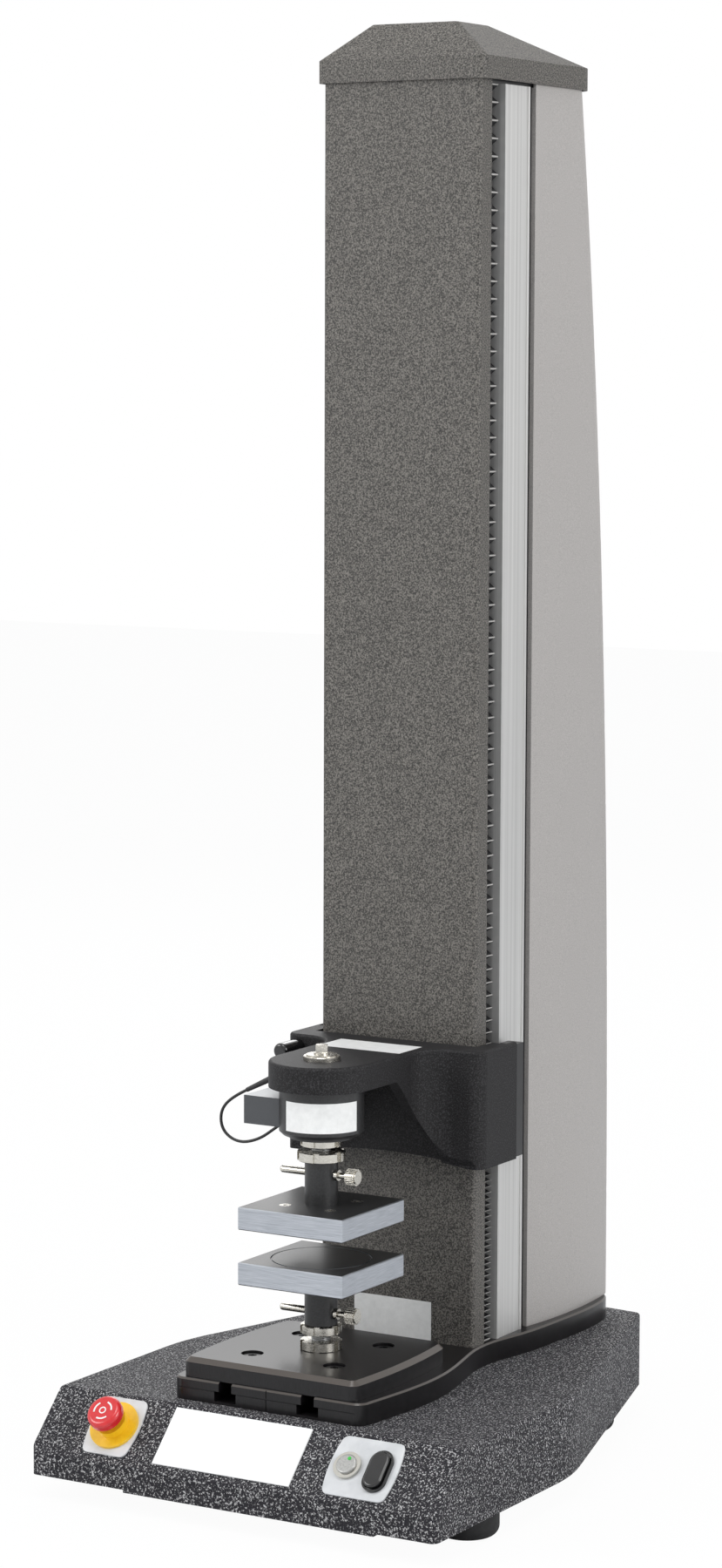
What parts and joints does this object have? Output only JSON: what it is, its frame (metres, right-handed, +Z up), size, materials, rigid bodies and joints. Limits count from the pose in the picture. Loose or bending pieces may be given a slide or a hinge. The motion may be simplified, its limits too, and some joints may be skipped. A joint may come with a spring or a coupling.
{
  "type": "motorized_test_stand",
  "caption": "Bench-top motorized force test stand: single column, T-slot plate on a speckled base, sloped control panel, load cell and square compression platens.",
  "frame": {"origin": "middle of the footprint, on the bench under the feet", "axes": "X to the operator's right, Y from the operator's side to the back, Z up along the column"},
  "size_m": [0.39, 0.544, 1.23],
  "materials": {
    "speckled_coat": "charcoal coating with dense pale speckle, satin",
    "pan_steel": "black powder coat on sheet steel",
    "foot_rubber": "moulded black rubber, matte",
    "black_anodised": "black anodised, satin",
    "black_steel": "black oxide steel",
    "machined_steel": "turned and lightly polished steel",
    "plated_pin": "nickel plated, polished",
    "platen_aluminium": "machined edges, black anodised working face",
    "box_paint": "grey enamel",
    "lead_rubber": "black rubber, satin",
    "dark_texture_paint": "dark grey fine-textured powder coat",
    "polished_cap": "polished black plastic",
    "clear_anodised": "clear anodised, satin",
    "silver_paint": "satin silver paint over drawn sheet",
    "bellows_fabric": "coated black fabric, pleated",
    "motor_paint": "black enamel",
    "board_green": "green solder resist",
    "supply_case": "mill-finish sheet",
    "black_moulding": "black moulded nylon",
    "bare_plate": "white printed film, left bare",
    "yellow_moulding": "yellow moulded plastic",
    "red_moulding": "red moulded plastic",
    "black_gloss": "glossy black moulded plastic",
    "black_body": "satin black enamel on turned steel"
  },
  "bodies": {
    "stand": {"base_casting": "speckled_coat", "floor_pan": "pan_steel", "feet": "foot_rubber", "tee_slot_plate": "black_anodised", "grip_plate": "black_anodised", "grip_plate_fasteners": "black_steel", "lower_stud": "machined_steel", "lower_adapter": "black_body", "lower_platen": "platen_aluminium", "guide_rails": "machined_steel", "column_extrusion": "clear_anodised", "groove_rails": "black_anodised", "front_cover": "dark_texture_paint", "column_top_plate": "black_anodised", "rear_cover": "silver_paint", "top_cap": "dark_texture_paint", "bearing_blocks": "black_steel", "upper_bellows": "bellows_fabric", "lower_bellows": "bellows_fabric", "drive_motor": "motor_paint", "drive_belt": "lead_rubber", "control_board": "board_green", "power_supply": "supply_case", "rear_panel": "pan_steel", "rear_connectors": "black_moulding", "panel_plates": "bare_plate", "estop_collar": "yellow_moulding", "button_bezels": "black_gloss", "panel_switch_blocks": "black_moulding"},
    "carriage": {"crosshead": "dark_texture_paint", "socket_cap": "polished_cap", "crosshead_bolt": "plated_pin", "carriage_plate": "black_anodised", "crosshead_end_bars": "black_anodised", "crosshead_screws": "black_steel", "guide_blocks": "machined_steel", "ball_nut": "machined_steel", "nut_bracket": "black_anodised", "load_cell": "black_body", "sensor_box": "box_paint", "sensor_lead": "lead_rubber", "lead_boot": "lead_rubber", "upper_stud": "machined_steel", "upper_adapter": "black_body", "upper_platen": "platen_aluminium", "platen_screws": "black_steel"},
    "screw": {"ball_screw": "machined_steel", "screw_pulley": "clear_anodised"},
    "motor_rotor": {"motor_pulley": "clear_anodised"},
    "lower_lock_ring": {"lower_lock_ring": "machined_steel"},
    "lower_check_ring": {"lower_check_ring": "machined_steel"},
    "lower_pin": {"lower_pin": "plated_pin"},
    "upper_check_ring": {"upper_check_ring": "machined_steel"},
    "upper_lock_ring": {"upper_lock_ring": "machined_steel"},
    "upper_pin": {"upper_pin": "plated_pin"},
    "stop_stem": {"estop_stem": "machined_steel"},
    "stop_head": {"estop_head": "red_moulding"},
    "start_button": {"push_button": "plated_pin"},
    "jog_switch": {"jog_rocker": "black_gloss"},
    "mains_rocker": {"mains_switch": "black_moulding"}
  },
  "joints": [
    {"name": "crosshead_travel", "type": "slide", "parent": "stand", "child": "carriage", "axis": [0, 0, 1], "range_m": [-0.0268, 0.7], "deforming": ["upper_bellows", "lower_bellows"]},
    {"name": "screw_turn", "type": "hinge", "parent": "stand", "child": "screw", "pos_m": [0, 0.05898, 0.1], "axis": [0, 0, 1], "continuous": true},
    {"name": "motor_turn", "type": "hinge", "parent": "stand", "child": "motor_rotor", "pos_m": [0, 0.14798, 0.1], "axis": [0, 0, 1], "continuous": true},
    {"name": "lower_lock_ring_turn", "type": "hinge", "parent": "stand", "child": "lower_lock_ring", "pos_m": [0, -0.12202, 0.1257], "axis": [0, 0, 1], "continuous": true},
    {"name": "lower_check_ring_turn", "type": "hinge", "parent": "stand", "child": "lower_check_ring", "pos_m": [0, -0.12202, 0.1391], "axis": [0, 0, 1], "continuous": true},
    {"name": "lower_pin_pull", "type": "slide", "parent": "stand", "child": "lower_pin", "axis": [1, 0, 0], "range_m": [0, 0.06]},
    {"name": "upper_check_ring_turn", "type": "hinge", "parent": "carriage", "child": "upper_check_ring", "pos_m": [0, -0.12202, 0.2866], "axis": [0, 0, 1], "continuous": true},
    {"name": "upper_lock_ring_turn", "type": "hinge", "parent": "carriage", "child": "upper_lock_ring", "pos_m": [0, -0.12202, 0.2968], "axis": [0, 0, 1], "continuous": true},
    {"name": "upper_pin_pull", "type": "slide", "parent": "carriage", "child": "upper_pin", "axis": [1, 0, 0], "range_m": [0, 0.06]},
    {"name": "stop_push", "type": "slide", "parent": "stand", "child": "stop_stem", "axis": [0, 0.7109, -0.7033], "range_m": [0, 0.004], "stiffness_N_per_m": 900},
    {"name": "stop_twist", "type": "hinge", "parent": "stop_stem", "child": "stop_head", "pos_m": [-0.1255, -0.24411, 0.06427], "axis": [0, -0.7109, 0.7033], "range_deg": [0, 45], "stiffness_Nm_per_rad": 0.03},
    {"name": "start_push", "type": "slide", "parent": "stand", "child": "start_button", "axis": [0, 0.7109, -0.7033], "range_m": [0, 0.002], "stiffness_N_per_m": 400},
    {"name": "jog_rock", "type": "hinge", "parent": "stand", "child": "jog_switch", "pos_m": [0.13, -0.24552, 0.06285], "axis": [1, 0, 0], "range_deg": [-5, 5], "stiffness_Nm_per_rad": 0.2},
    {"name": "mains_rock", "type": "hinge", "parent": "stand", "child": "mains_rocker", "pos_m": [-0.008, 0.25848, 0.05], "axis": [1, 0, 0], "range_deg": [-6, 6]}
  ],
  "couplings": [
    {"joint": "screw_turn", "follows": "crosshead_travel", "rad_per_m": 628.32},
    {"joint": "motor_turn", "follows": "crosshead_travel", "rad_per_m": 1256.6}
  ]
}
